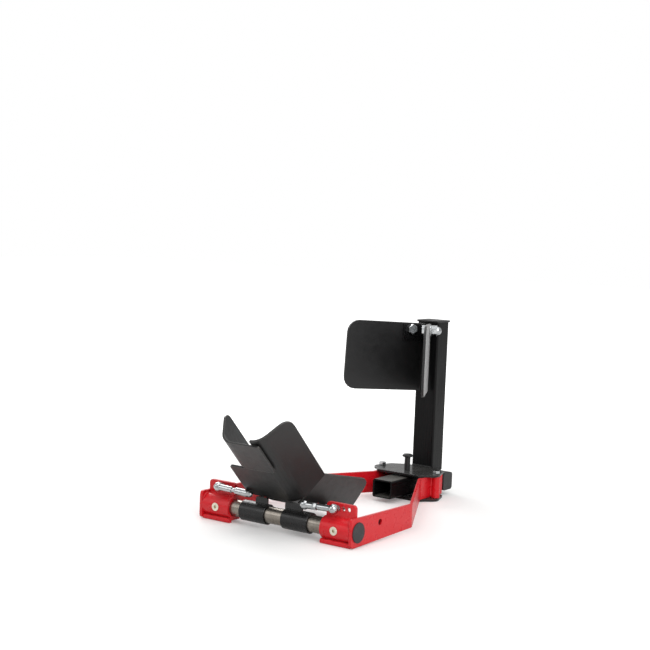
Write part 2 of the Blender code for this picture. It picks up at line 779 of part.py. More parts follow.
def plate_outline(back_y):
    """The plan of the hinge plates, right half first from the front."""
    right = [(PLATE_FRONT_X, PLATE_FRONT_Y)]
    cx, cy = HINGE_X - EAR_IN, HINGE_Y - EAR_IN
    r = PLATE_X - cx
    for i in range(6):
        a = math.radians(-66 + 19 * i)
        right.append((cx + r * math.cos(a), cy + EAR_SHIFT + r * math.sin(a)))
    right += [(PLATE_BACK_X + SHOULDER_X, POST_Y - SHOULDER_Y)]
    right += [(PLATE_BACK_X, POST_Y - PLATE_NOTCH), (PLATE_BACK_X, back_y)]
    return right + [(-x, y) for x, y in reversed(right)]


def build_base(mat_black, mat_zinc):
    lower = prism("lower_plate", plate_outline(POST_Y), 0.0, LOWER_T, "Z", mat_black)
    upper = prism("upper_plate", plate_outline(POST_Y - GAP), UPPER_Z, UPPER_Z + UPPER_T, "Z", mat_black)
    through = UPPER_Z + UPPER_T + 2 * PAST
    for plate in (lower, upper):
        bevel(plate, BEVEL, 1)
        for sign in SIDES.values():
            drill(plate, (sign * HINGE_X, HINGE_Y, -PAST), (0, 0, 1), BOLT_D / 2 + RUN, through, 20)
    half = SPINE_W / 2
    top = SPINE_TOP
    wall = TUBE_WALL
    outer = rounded(-half, SPINE_LOW, half, top, TUBE_R)
    inner = rounded(wall - half, SPINE_LOW + wall, half - wall, top - wall, TUBE_R - wall / 2)
    spine = tube("spine_tube", outer, inner, SPINE_FRONT_Y, POST_Y - GAP, "Y", mat_black)
    for piece in (upper, spine):
        start = (0, PIN_Y, top - wall - PAST)
        drill(piece, start, (0, 0, 1), PIN_D / 2 + RUN, UPPER_Z + UPPER_T - start[2] + PAST, 24)
    for side, sign in SIDES.items():
        seat = Vector((sign * HINGE_X, HINGE_Y, UPPER_Z + UPPER_T + GAP))
        reach = seat.z - RUN
        bolt(f"hinge_bolt_{side}", BOLT_AF, BOLT_HEAD_H, BOLT_D, reach, seat, (0, 0, -1), mat_zinc)


def beam_outline(inset, radius):
    low, high = BEAM_LOW + inset, BEAM_LOW + BEAM_H - inset
    return rounded(POST_Y + inset, low, POST_Y + BEAM_D - inset, high, radius)


def build_beam(mat_black, mat_cap):
    fine = BEAM_R - TUBE_WALL
    outer = beam_outline(0, BEAM_R)
    inner = beam_outline(TUBE_WALL, fine)
    tube("rear_beam", outer, inner, -BEAM_X, BEAM_X, "X", mat_black)
    for side, sign in SIDES.items():
        near, far = sorted((sign * (BEAM_X + GAP), sign * (BEAM_X + BEAM_CAP_T)))
        cap = prism(f"beam_cap_{side}", beam_outline(0, BEAM_R), near, far, "X", mat_cap)
        bevel(cap, CAP_EDGE, 2)
        near, far = sorted((sign * (BEAM_X - CAP_SPIGOT), sign * (BEAM_X + BEAM_CAP_T / 2)))
        plug = prism(f"beam_spigot_{side}", beam_outline(TUBE_WALL + GAP, fine), near, far, "X", mat_cap)
        boolean(cap, plug, "UNION")


def build_pin(mat):
    floor = SPINE_LOW + TUBE_WALL + GAP
    r = PIN_D / 2
    head = PIN_HEAD_D / 2
    top = PIN_HEAD_Z + PIN_HEAD_H
    profile = [
        (0, floor),
        (r - PIN_CHAMFER, floor),
        (r, floor + PIN_CHAMFER),
        (r, PIN_HEAD_Z),
        (head - CHAMFER, PIN_HEAD_Z),
        (head, PIN_HEAD_Z + CHAMFER),
        (head, PIN_HEAD_Z + PIN_HEAD_H * 0.45),
        (head * 0.93, PIN_HEAD_Z + PIN_HEAD_H * 0.68),
        (head * 0.72, PIN_HEAD_Z + PIN_HEAD_H * 0.88),
        (head * 0.38, PIN_HEAD_Z + PIN_HEAD_H * 0.97),
        (0, top),
    ]
    lathe("lock_pin", profile, (0, PIN_Y, 0), (0, 0, 1), mat, 24)


def build_post(mat_black, mat_cap):
    half = POST_W / 2
    low = BEAM_LOW + BEAM_H + GAP
    y = POST_Y
    w = TUBE_WALL
    outer = rounded(-half, y, half, y + POST_D, TUBE_R)
    inner = rounded(w - half, y + w, half - w, y + POST_D - w, TUBE_R - w / 2)
    tube("post", outer, inner, low, POST_TOP, "Z", mat_black)
    over = CAP_OVER
    flange = rounded(-half - over, y - over, half + over, y + POST_D + over, TUBE_R)
    cap = prism("post_cap", flange, POST_TOP + GAP, POST_TOP + GAP + CAP_T, "Z", mat_cap)
    bevel(cap, CHAMFER, 2)
    w += GAP
    plug = rounded(w - half, y + w, half - w, y + POST_D - w, TUBE_R - TUBE_WALL / 2)
    spigot = prism("post_spigot", plug, POST_TOP - CAP_SPIGOT, POST_TOP + CAP_T / 2, "Z", mat_cap)
    boolean(cap, spigot, "UNION")


def holder_point(sign, s, out):
    """A plan point along a holder plate, out from its inner face."""
    a = math.radians(HOLDER_ANGLE)
    x = HOLDER_X + s * math.sin(a) + out * math.cos(a)
    y = HOLDER_Y - s * math.cos(a) + out * math.sin(a)
    return Vector((sign * x, y, 0))


def tilted(s, z):
    """A point of a holder plate turned about its bolt, the free end up."""
    t = math.radians(HOLDER_TILT)
    along, up = s - HOLD_BOLT_S, z - HOLD_BOLT_Z
    s = HOLD_BOLT_S + along * math.cos(t) - up * math.sin(t)
    return s, HOLD_BOLT_Z + along * math.sin(t) + up * math.cos(t)


def build_holder(mat_black, mat_zinc):
    a = math.radians(HOLDER_ANGLE)
    inside = -GAP - WING_T
    base_s = (HOLDER_Y - POST_Y + GAP - GAP * math.sin(a)) / math.cos(a)
    crotch_s = (HOLDER_Y - POST_Y + GAP + WING_T + inside * math.sin(a)) / math.cos(a)
    crotch_s = max(crotch_s, (2 * GAP - HOLDER_X - inside * math.cos(a)) / math.sin(a))
    wing = ((base_s, -GAP), (WING_L, -GAP), (WING_L, inside), (crotch_s, inside))
    right = [tuple(holder_point(1, along, out).xy) for along, out in wing]
    outline = right + [(-x, y) for x, y in reversed(right)]
    bracket = prism("holder_bracket", outline, WING_LOW, WING_TOP, "Z", mat_black)
    for side, sign in SIDES.items():
        normal = Vector((sign * math.cos(a), math.sin(a), 0))
        inner = holder_point(sign, HOLD_BOLT_S, -GAP - WING_T)
        inner.z = HOLD_BOLT_Z
        outline = rounded(0, HOLDER_LOW, HOLDER_L, HOLDER_TOP, HOLDER_R, 5)
        front = [(s, z) for s, z in outline if s > HOLDER_L / 2]
        points = front[: len(front) // 2] + [(0, HOLDER_TOP), (0, HOLDER_LOW)] + front[len(front) // 2 :]
        n = len(points)
        verts = []
        for out in (0.0, HOLDER_T):
            for s, z in (tilted(*point) for point in points):
                p = holder_point(sign, s, out)
                verts.append((p.x, p.y, z))
        faces = [tuple(range(n)), tuple(range(2 * n - 1, n - 1, -1))]
        faces += [(i, (i + 1) % n, n + (i + 1) % n, n + i) for i in range(n)]
        plate = solid(f"holder_plate_{side}", verts, faces, mat_black)
        bevel(plate)
        start = inner - normal * PAST
        through = WING_T + GAP + HOLDER_T + 2 * PAST
        drill(plate, start, normal, HOLD_BOLT_D / 2 + RUN, through, 24)
        drill(bracket, start, normal, HOLD_BOLT_D / 2 + RUN, through, 24)
        seat = inner - normal * GAP
        stack = WING_T + HOLDER_T + WASHER_T + HOLD_NUT_H + 4 * GAP
        bolt(
            f"holder_bolt_{side}",
            HOLD_NUT_AF,
            HOLD_HEAD_H,
            HOLD_BOLT_D,
            stack + HOLD_BOLT_OUT,
            seat,
            normal,
            mat_zinc,
        )
        face = seat + normal * (WING_T + HOLDER_T + 3 * GAP)
        ring = [
            (HOLD_BOLT_D / 2 + GAP, 0),
            (HOLD_BOLT_D / 2 + GAP, WASHER_T),
            (WASHER_D / 2, WASHER_T),
            (WASHER_D / 2, 0),
        ]
        lathe(f"holder_washer_{side}", ring, face, normal, mat_zinc, 28)
        nut_at = face + normal * (WASHER_T + GAP)
        bore = HOLD_BOLT_D / 2 + GAP
        nut = hex_solid(f"holder_nut_{side}", HOLD_NUT_AF, 0, HOLD_NUT_H, 0, nut_at, normal, mat_zinc)
        sunk = HOLD_NUT_H - CHAMFER
        dome = [(0, sunk), (HOLD_DOME_R, sunk)]
        for i in range(5):
            t = math.radians(22.5 * i)
            r = 0.0 if i == 4 else HOLD_DOME_R * math.cos(t)
            dome.append((r, HOLD_NUT_H + HOLD_DOME_H * math.sin(t)))
        boolean(nut, lathe(f"dome_{side}", dome, nut_at, normal, mat_zinc, 24), "UNION")
        drill(nut, nut_at - normal * PAST, normal, bore, PAST + HOLD_NUT_H + HOLD_DOME_ROOM)


def stand_on_origin():
    """Move every piece so the origin is on the floor, under the middle of the box around them all."""
    graph = bpy.context.evaluated_depsgraph_get()
    corners = []
    for obj in bpy.data.objects:
        if not obj.hide_render:
            shown = obj.evaluated_get(graph)
            corners += [shown.matrix_world @ Vector(c) for c in shown.bound_box]
    low = Vector([min(c[i] for c in corners) for i in range(3)])
    high = Vector([max(c[i] for c in corners) for i in range(3)])
    middle = (low + high) / 2
    middle.z = low.z
    for obj in bpy.data.objects:
        if obj.parent is None:
            obj.location -= middle


for old in list(bpy.data.objects):
    bpy.data.objects.remove(old, do_unlink=True)

black = material("black_powder_coat", (0.018, 0.018, 0.019), 0.0, 0.45)
sheet = material("black_sheet_coat", (0.030, 0.030, 0.031), 0.0, 0.5)
red = material("red_powder_coat", (0.47, 0.016, 0.018), 0.0, 0.35)
steel = material("bare_steel", (0.42, 0.39, 0.34), 1.0, 0.35)
zinc = material("bright_zinc", (0.78, 0.79, 0.80), 1.0, 0.22)
plastic = material("black_plastic", (0.035, 0.035, 0.036), 0.0, 0.5)
plug_grey = material("grey_plastic", (0.06, 0.06, 0.062), 0.0, 0.55)

build_shaft(steel, plug_grey, zinc)
for part_side in SIDES:
    build_arm(part_side, red)
    build_block(part_side, red)
    build_half(part_side, sheet)
    build_bush(part_side, black)
    build_link(part_side, zinc)
    build_lug(part_side, black)
build_base(black, zinc)
build_beam(black, plastic)
build_pin(plastic)
build_post(black, plastic)
build_holder(black, zinc)
stand_on_origin()
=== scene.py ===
import json
import math

import bmesh
import bpy
from mathutils import Matrix, Vector


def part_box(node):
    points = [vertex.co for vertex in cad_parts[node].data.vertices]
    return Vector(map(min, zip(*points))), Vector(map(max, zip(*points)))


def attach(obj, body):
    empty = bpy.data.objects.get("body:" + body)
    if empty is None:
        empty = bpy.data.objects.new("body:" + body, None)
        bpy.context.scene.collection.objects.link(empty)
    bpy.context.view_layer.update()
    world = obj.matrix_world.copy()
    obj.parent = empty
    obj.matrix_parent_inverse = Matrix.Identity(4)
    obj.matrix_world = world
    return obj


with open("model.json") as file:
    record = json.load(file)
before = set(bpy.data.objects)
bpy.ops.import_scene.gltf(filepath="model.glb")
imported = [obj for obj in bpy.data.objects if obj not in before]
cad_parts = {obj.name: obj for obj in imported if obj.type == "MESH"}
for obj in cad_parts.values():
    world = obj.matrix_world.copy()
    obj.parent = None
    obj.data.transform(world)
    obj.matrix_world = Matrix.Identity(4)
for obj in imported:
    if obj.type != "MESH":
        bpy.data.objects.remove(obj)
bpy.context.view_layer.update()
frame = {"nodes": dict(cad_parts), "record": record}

MM = 0.001
SIDES = {"left": -1, "right": 1}
RED, BLACK, ZINC = "red_powder_coat", "black_powder_coat", "bright_zinc"
WHITE = (1.0, 1.0, 1.0, 1.0)

# The round shaft's centre line is what everything at the front is placed from.
shaft_low, shaft_high = (Vector(c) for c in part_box("shaft"))
SHAFT_Y = (shaft_low.y + shaft_high.y) / 2
SHAFT_Z = (shaft_low.z + shaft_high.z) / 2

# The camera of the product picture: place from the floor point under the shaft, and its turn.
EYE = (1.4266, -1.8951, 0.5748)
AZIMUTH = 35.23
ELEVATION = 4.38
ROLL = -2.25
FOCAL_PX = 1277.7
FRAME_PX = 650
SENSOR_MM = 36.0

# Rounding that the eye sees on edges and facets, on painted steel and on bare metal and plastic.
COAT_EDGE_MM = 1.4
BARE_EDGE_MM = 0.9
EDGE_SAMPLES = 4

# A Mix node's sockets when it mixes colours: those for numbers have the same names.
COLOUR_A, COLOUR_B, MIXED = 6, 7, 2


def colour(code):
    """An sRGB hex colour as linear RGBA."""
    parts = [int(code[i : i + 2], 16) / 255 for i in (1, 3, 5)]
    return [p / 12.92 if p <= 0.04045 else ((p + 0.055) / 1.055) ** 2.4 for p in parts] + [1.0]


def add(tree, kind, at=None, links=(), **settings):
    """One node: its own properties, socket values and links into its sockets."""
    node = tree.nodes.new(kind)
    for key, value in settings.items():
        setattr(node, key, value)
    for key, value in (at or {}).items():
        node.inputs[key].default_value = value
    for key, source in links:
        tree.links.new(source, node.inputs[key])
    return node


def start_material(name):
    """An empty node material with a Principled surface, in metres of the object's own space."""
    mat = bpy.data.materials.new(name)
    mat.use_nodes = True
    tree = mat.node_tree
    shader = tree.nodes["Principled BSDF"]
    place = add(tree, "ShaderNodeTexCoord").outputs["Object"]
    return mat, tree, shader, place


def finish_material(tree, shader, gloss, grain, strength, depth_mm, soft):
    """Roughness from a range, and fine relief on normals that are rounded at edges and facets."""
    tree.links.new(gloss.outputs["Result"], shader.inputs["Roughness"])
    bump = add(
        tree,
        "ShaderNodeBump",
        {"Strength": strength, "Distance": depth_mm * MM},
        [("Height", grain.outputs["Fac"]), ("Normal", soft.outputs["Normal"])],
    )
    tree.links.new(bump.outputs["Normal"], shader.inputs["Normal"])


def per_metre(size_mm):
    """A noise scale whose grains are about this many millimetres across."""
    return 1.0 / (size_mm * MM)


def powder_coat(
    name, code, pale_edge_colour, dust_and_top_light_colour, rough, peel_mm=2.6, shine=0.5, top_dust_and_light=0.3, pale_share=0.55, run=None
):
    """Baked powder coat on steel: sprayed dry and melted, so it keeps a fine orange-peel skin and soft
    highlights, and holds a few rubbed patches. Sharp edges are paler, partly where the coat goes thin and
    partly as a painted highlight. Specks of pale dust lie all over, and a pale film on what faces up is
    partly settled dust and partly painted light on the tops. On drawn tube the coat is thin enough to show
    the lines that run along the tube's axis, drawn 2 mm wide so that they show."""
    mat, tree, shader, place = start_material(name)
    broad = add(tree, "ShaderNodeTexNoise", {"Scale": per_metre(55), "Detail": 3.0}, [("Vector", place)])
    fine = add(tree, "ShaderNodeTexNoise", {"Scale": per_metre(1.1), "Detail": 2.0}, [("Vector", place)])
    peel = add(tree, "ShaderNodeTexNoise", {"Scale": per_metre(peel_mm), "Detail": 1.0}, [("Vector", place)])
    rub = add(
        tree,
        "ShaderNodeTexNoise",
        {"Scale": per_metre(14), "Detail": 6.0, "Roughness": 0.7, "Distortion": 0.6},
        [("Vector", place)],
    )
    # Paler sharp edges, partly thin paint and partly a painted highlight where the edges catch the light:
    # where a rounded normal leaves the true one.
    soft = add(tree, "ShaderNodeBevel", {"Radius": COAT_EDGE_MM * MM}, samples=EDGE_SAMPLES)
    true = add(tree, "ShaderNodeNewGeometry")
    match = add(
        tree,
        "ShaderNodeVectorMath",
        links=[(0, soft.outputs["Normal"]), (1, true.outputs["Normal"])],
        operation="DOT_PRODUCT",
    )
    edge = add(
        tree,
        "ShaderNodeMapRange",
        {"From Min": 0.995, "From Max": 0.86, "To Min": 0.0, "To Max": pale_share},
        [("Value", match.outputs["Value"])],
    )
    pale_mark = add(
        tree,
        "ShaderNodeMath",
        links=[(0, edge.outputs["Result"]), (1, rub.outputs["Fac"])],
        operation="MULTIPLY",
    )
    body = add(
        tree,
        "ShaderNodeMix",
        {COLOUR_A: colour(code), COLOUR_B: colour(pale_edge_colour)},
        [("Factor", pale_mark.outputs["Value"])],
        data_type="RGBA",
    )
    # Specks of dust all over, and a pale film on what faces up: partly settled dust and partly painted light
    # on the tops.
    specks = add(
        tree,
        "ShaderNodeMapRange",
        {"From Min": 0.60, "From Max": 0.80, "To Min": 0.0, "To Max": 0.30},
        [("Value", fine.outputs["Fac"])],
    )
    upward = add(tree, "ShaderNodeSeparateXYZ", links=[(0, true.outputs["Normal"])])
    top_dust_and_light_mask = add(
        tree,
        "ShaderNodeMapRange",
        {"From Min": 0.75, "From Max": 1.0, "To Min": 0.0, "To Max": top_dust_and_light},
        [("Value", upward.outputs["Z"])],
    )
    specks_and_top_film = add(
        tree,
        "ShaderNodeMath",
        links=[(0, specks.outputs["Result"]), (1, top_dust_and_light_mask.outputs["Result"])],
        operation="ADD",
    )
    dust_and_top_light_share = add(
        tree,
        "ShaderNodeMath",
        links=[(0, specks_and_top_film.outputs["Value"]), (1, broad.outputs["Fac"])],
        operation="MULTIPLY",
    )
    skin = add(
        tree,
        "ShaderNodeMix",
        {COLOUR_B: colour(dust_and_top_light_colour)},
        [("Factor", dust_and_top_light_share.outputs["Value"]), (COLOUR_A, body.outputs[MIXED])],
        data_type="RGBA",
    )
    tree.links.new(skin.outputs[MIXED], shader.inputs["Base Color"])
    if run is None:
        gloss = add(
            tree,
            "ShaderNodeMapRange",
            {"From Min": 0.35, "From Max": 0.70, "To Min": rough - 0.06, "To Max": rough + 0.10},
            [("Value", rub.outputs["Fac"])],
        )
    else:
        stretch = [per_metre(90 if axis == run else 2) for axis in range(3)]
        lengthways = add(tree, "ShaderNodeMapping", {"Scale": stretch}, [("Vector", place)])
        drawn = add(
            tree,
            "ShaderNodeTexNoise",
            {"Scale": 1.0, "Detail": 2.0},
            [("Vector", lengthways.outputs["Vector"])],
        )
        gloss = add(
            tree,
            "ShaderNodeMapRange",
            {"From Min": 0.35, "From Max": 0.65, "To Min": rough - 0.13, "To Max": rough + 0.17},
            [("Value", drawn.outputs["Fac"])],
        )
    finish_material(tree, shader, gloss, peel, 0.10, 0.25, soft)
    shader.inputs["IOR"].default_value = 1.5
    shader.inputs["Specular IOR Level"].default_value = shine
    return mat


def plated_steel(name, code, haze, rough):
    """Zinc or nickel plate on turned steel: a clean metal shine with a faint cloud, fine turning lines, and
    duller spots where it has been handled."""
    mat, tree, shader, place = start_material(name)
    cloud = add(
        tree,
        "ShaderNodeTexNoise",
        {"Scale": per_metre(7), "Detail": 4.0, "Distortion": 0.8},
        [("Vector", place)],
    )
    lines = add(tree, "ShaderNodeTexNoise", {"Scale": per_metre(0.6), "Detail": 2.0}, [("Vector", place)])
    tint = add(
        tree,
        "ShaderNodeMix",
        {COLOUR_A: colour(code), COLOUR_B: colour(haze)},
        [("Factor", cloud.outputs["Fac"])],
        data_type="RGBA",
    )
    tree.links.new(tint.outputs[MIXED], shader.inputs["Base Color"])
    dull = add(
        tree,
        "ShaderNodeMapRange",
        {"From Min": 0.3, "From Max": 0.75, "To Min": rough, "To Max": rough + 0.16},
        [("Value", cloud.outputs["Fac"])],
    )
    soft = add(tree, "ShaderNodeBevel", {"Radius": BARE_EDGE_MM * MM}, samples=EDGE_SAMPLES)
    finish_material(tree, shader, dull, lines, 0.05, 0.05, soft)
    shader.inputs["Metallic"].default_value = 1.0
    return mat


def ground_steel(name, code, stain, rough):
    """Ground steel tube, bare under a film of oil: lines run round it from the grinding wheel, and warm
    brown patches show where the oil has aged. Lines of 0.05 mm are drawn 0.5 mm wide so that they show."""
    mat, tree, shader, place = start_material(name)
    along = add(tree, "ShaderNodeMapping", {"Scale": (per_metre(0.5), 18.0, 18.0)}, [("Vector", place)])
    lines = add(
        tree, "ShaderNodeTexNoise", {"Scale": 1.0, "Detail": 3.0}, [("Vector", along.outputs["Vector"])]
    )
    patch = add(
        tree,
        "ShaderNodeTexNoise",
        {"Scale": per_metre(22), "Detail": 5.0, "Roughness": 0.65},
        [("Vector", place)],
    )
    aged = add(
        tree,
        "ShaderNodeMapRange",
        {"From Min": 0.42, "From Max": 0.72, "To Min": 0.0, "To Max": 0.75},
        [("Value", patch.outputs["Fac"])],
    )
    tint = add(
        tree,
        "ShaderNodeMix",
        {COLOUR_A: colour(code), COLOUR_B: colour(stain)},
        [("Factor", aged.outputs["Result"])],
        data_type="RGBA",
    )
    tree.links.new(tint.outputs[MIXED], shader.inputs["Base Color"])
    gloss = add(
        tree,
        "ShaderNodeMapRange",
        {"From Min": 0.3, "From Max": 0.7, "To Min": rough - 0.05, "To Max": rough + 0.12},
        [("Value", lines.outputs["Fac"])],
    )
    soft = add(tree, "ShaderNodeBevel", {"Radius": BARE_EDGE_MM * MM}, samples=EDGE_SAMPLES)
    finish_material(tree, shader, gloss, lines, 0.12, 0.05, soft)
    shader.inputs["Metallic"].default_value = 1.0
    return mat


def moulded_plastic(name, code, pale_mark, rough):
    """Polyethylene moulding with a spark-eroded grain: flat, even black with a dull sheen, and small pale
    scuffs. The 0.15 mm grain is drawn at 0.9 mm so that it shows."""
    mat, tree, shader, place = start_material(name)
    grain = add(tree, "ShaderNodeTexNoise", {"Scale": per_metre(0.9), "Detail": 3.0}, [("Vector", place)])
    scuff = add(
        tree,
        "ShaderNodeTexNoise",
        {"Scale": per_metre(9), "Detail": 8.0, "Roughness": 0.75, "Distortion": 1.2},
        [("Vector", place)],
    )
    pale_share = add(
        tree,
        "ShaderNodeMapRange",
        {"From Min": 0.52, "From Max": 0.80, "To Min": 0.0, "To Max": 0.8},
        [("Value", scuff.outputs["Fac"])],
    )
    tint = add(
        tree,
        "ShaderNodeMix",
        {COLOUR_A: colour(code), COLOUR_B: colour(pale_mark)},
        [("Factor", pale_share.outputs["Result"])],
        data_type="RGBA",
    )
    tree.links.new(tint.outputs[MIXED], shader.inputs["Base Color"])
    gloss = add(
        tree,
        "ShaderNodeMapRange",
        {"From Min": 0.3, "From Max": 0.7, "To Min": rough - 0.05, "To Max": rough + 0.1},
        [("Value", grain.outputs["Fac"])],
    )
    soft = add(tree, "ShaderNodeBevel", {"Radius": BARE_EDGE_MM * MM}, samples=EDGE_SAMPLES)
    finish_material(tree, shader, gloss, grain, 0.18, 0.1, soft)
    shader.inputs["IOR"].default_value = 1.5
    return mat


# Satin coat on the welded steel: deep black with soft, clear highlights.
black_coat = powder_coat(
    "satin_black_powder_coat", "#111112", "#3c3c3c", "#6f6e6b", 0.26, shine=0.42, top_dust_and_light=0.36
)
# The folded sheets have a finer, duller coat, pale along the edges: partly rubbed where they slide past each
# other and partly a painted highlight.
sheet_coat = powder_coat(
    "fine_black_powder_coat_on_sheet",
    "#1c1c1c",
    "#8c8983",
    "#7d7b78",
    0.38,
    peel_mm=1.8,
    shine=0.55,
    pale_share=1.0,
)
# The holder's plates have a rough coat whose grain turns pale where it is seen from a low angle.
holder_coat = powder_coat("rough_black_powder_coat", "#131314", "#3c3c3c", "#6f6e6b", 0.46, peel_mm=1.4)
holder_shader = holder_coat.node_tree.nodes["Principled BSDF"]
holder_shader.inputs["Sheen Weight"].default_value = 0.48
holder_shader.inputs["Sheen Roughness"].default_value = 0.28
# A thick red coat: even colour, gentle orange peel, and little dust and painted light on top.
red_coat = powder_coat(
    "red_powder_coat", "#d21420", "#e5585c", "#dc8d8a", 0.30, peel_mm=3.2, shine=0.40, top_dust_and_light=0.12
)
# Bright zinc on the links, nuts and bolts is almost a mirror; nickel on the screws is warm, pale and soft.
zinc = plated_steel("bright_zinc_plate", "#cfd0cf", "#9ba0a5", 0.06)
screw_nickel = plated_steel("nickel_plated_screw", "#f3eedd", "#ddd6c2", 0.34)
# The shaft's bare steel is grey with a brown tinge, in fine rings.
steel = ground_steel("ground_steel_tube", "#9a938a", "#736a60", 0.26)
# Caps and plugs are dull and even, the plugs greyer.
cap_plastic = moulded_plastic("black_polyethylene", "#1a1a1b", "#4b4b4b", 0.46)
plug_plastic = moulded_plastic("dark_grey_polyethylene", "#2c2c2e", "#565658", 0.52)

FINISH = {
    BLACK: black_coat,
    "black_sheet_coat": sheet_coat,
    RED: red_coat,
    "bare_steel": steel,
    ZINC: zinc,
    "black_plastic": cap_plastic,
    "grey_plastic": plug_plastic,
}

# Nodes with a finish of their own: drawn tubes under a thin coat, with dust and painted light on top, screws
# and holder plates.
SPECIAL = {}
for axis, tube, top_dust_and_light in ((0, "rear_beam", 0.4), (1, "spine_tube", 1.2), (2, "post", 0.3)):
    SPECIAL[tube] = powder_coat(
        f"thin_black_coat_on_drawn_{tube}",
        "#0e0e0f",
        "#333333",
        "#6f6d68",
        0.32,
        shine=0.14,
        top_dust_and_light=top_dust_and_light,
        run=axis,
    )
for side in SIDES:
    SPECIAL[f"clamp_screw_{side}"] = screw_nickel
    SPECIAL[f"holder_plate_{side}"] = holder_coat

for row in frame["record"]["subparts"]:
    node = frame["nodes"][row["node"]]
    node.data.materials.clear()
    node.data.materials.append(SPECIAL.get(row["node"], FINISH[row["material_slot"]]))

# Where welds, threads and hole bottoms sit on the solids, in metres from the floor under the shaft.
BLOCK_R = 0.0218
BLOCK_END_X = 0.1722
BLOCK_WELD_OUT = 0.0006
BLOCK_WELDS = (("front", 152, 96), ("rear", 70, 4))
TAB_X = (0.1095, 0.1695)
TAB_FACES = (("front", -0.0006), ("rear", 0.0066))
BUSH_R = 0.0197
LUG_WELD_IN = 0.002
WELD_OUT = 0.0004
HINGE_X, HINGE_Y = 0.0612, 0.463
BARREL_SEAM = 0.00755
BARREL_Z = (0.0078, 0.0496)
POST_FRONT_Y = 0.5150
POST_SIDE_X, POST_SIDE_Y, BEAM_TOP = 0.0268, (0.5205, 0.5535), 0.0484
POST_FOOT_X, POST_FOOT_Y, POST_FOOT_Z = 0.024, 0.5153, 0.0575
BRACKET_X, BRACKET_Z = 0.0030, (0.3385, 0.3705)
ARM_HOLE_Y, ARM_HOLE_Z, ARM_HOLE_R = 0.073, 0.0357, 0.0061
ARM_HOLE_BOTTOM = (0.1737, 0.1752)
WELD_R = {
    "block": 0.0019,
    "tab": 0.0014,
    "lug": 0.0013,
    "barrel": 0.0023,
    "post": 0.0021,
    "bracket": 0.0014,
}
WELD_RIPPLE = 2.2 * MM
# The link's thread starts this far from its outer ball, along a rod that falls a little towards the middle.
LINK_Y, LINK_FALL = -0.0135, 1.7
LINK_THREAD = {"length": 0.0080, "root": 0.00424, "crest": 0.00446, "pitch": 1.25 * MM}
LINK_THREAD_FROM = 0.0340
STUD_THREAD = {"length": 0.0020, "root": 0.00402, "crest": 0.00428, "pitch": 0.9 * MM}
STUD_THREAD_IN = 0.0025


def from_shaft(x, y, z):
    """A point in metres from the floor under the middle of the shaft."""
    return Vector((x, y + SHAFT_Y, z))


def add_piece(name, points, faces, slot, body):
    """A smooth, closed mesh piece in the finish of a record slot, on a body of the frame."""
    mesh = bpy.data.meshes.new(name)
    mesh.from_pydata(points, [], faces)
    shape = bmesh.new()
    shape.from_mesh(mesh)
    bmesh.ops.remove_doubles(shape, verts=shape.verts, dist=1e-6)
    bmesh.ops.holes_fill(shape, edges=shape.edges)
    bmesh.ops.recalc_face_normals(shape, faces=shape.faces)
    shape.to_mesh(mesh)
    shape.free()
    mesh.shade_smooth()
    mesh.materials.append(FINISH[slot])
    piece = bpy.data.objects.new(name, mesh)
    bpy.context.scene.collection.objects.link(piece)
    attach(piece, body)


def weld_bead(name, path, radius, slot, body):
    """A run of weld under the paint: overlapping ripples that start and end thin."""
    steps, sides = 4, 8
    lengths = [(b - a).length for a, b in zip(path, path[1:])]
    count = max(round(sum(lengths) / WELD_RIPPLE), 2) * steps
    centres, part, gone = [], 0, 0.0
    for i in range(count + 1):
        reach = sum(lengths) * i / count
        while part < len(lengths) - 1 and reach > gone + lengths[part]:
            gone += lengths[part]
            part += 1
        centres.append(path[part].lerp(path[part + 1], (reach - gone) / lengths[part]))
    points = []
    for i, centre in enumerate(centres):
        along = (centres[min(i + 1, count)] - centres[max(i - 1, 0)]).normalized()
        across = along.orthogonal() if abs(along.z) > 0.9 else along.cross((0, 0, 1))
        across.normalize()
        up = along.cross(across)
        ripple = 0.92 + 0.16 * math.sin(math.pi * (i % steps) / steps)
        size = radius * ripple * min(1.0, 0.5 + 0.2 * min(i, count - i))
        middle = centre + across * radius * 0.10 * math.sin(0.9 * i)
        for k in range(sides):
            a = 2 * math.pi * k / sides
            points.append(middle + (across * math.cos(a) + up * math.sin(a)) * size)
    faces = [tuple(range(sides)), tuple(count * sides + k for k in range(sides))]
    for i in range(count):
        for k in range(sides):
            m = (k + 1) % sides
            faces.append((i * sides + k, i * sides + m, (i + 1) * sides + m, (i + 1) * sides + k))
    add_piece(name, points, faces, slot, body)


def screw_thread(name, foot, way, body, length, root, crest, pitch):
    """A rolled thread: one ridge that climbs a pitch each turn, flat at both ends."""
    steps = 20
    across = way.orthogonal().normalized()
    up = way.cross(across)
    rows = 2 * math.ceil(length / pitch) + 4
    points, faces = [], []
    for row in range(rows):
        for k in range(steps):
            reach = pitch * (row / 2 + k / steps - 1)
            r = crest if row % 2 and 0 < reach < length else root
            a = 2 * math.pi * k / steps
            turned = (across * math.cos(a) + up * math.sin(a)) * r
            points.append(foot + way * min(max(reach, 0.0), length) + turned)
    for row in range(rows - 3):
        for k in range(steps):
            near = row * steps + k
            far = (row + 2) * steps if k + 1 == steps else near + 1
            faces.append((near, far, far + steps, near + steps))
    add_piece(name, points, faces, ZINC, body)


def round_shaft(x, radius, first, last, steps=14):
    """Points on a ring round the shaft between two angles, 0 to the rear and 90 up."""
    points = []
    for i in range(steps + 1):
        a = math.radians(first + (last - first) * i / steps)
        points.append(from_shaft(x, radius * math.cos(a), SHAFT_Z + radius * math.sin(a)))
    return points


def lengthwise(x0, x1, y, z):
    """A straight path along the shaft's direction."""
    return [from_shaft(x0, y, z), from_shaft(x1, y, z)]


def upright(x, y, low, high):
    """A straight path up from the floor."""
    return [from_shaft(x, y, low), from_shaft(x, y, high)]


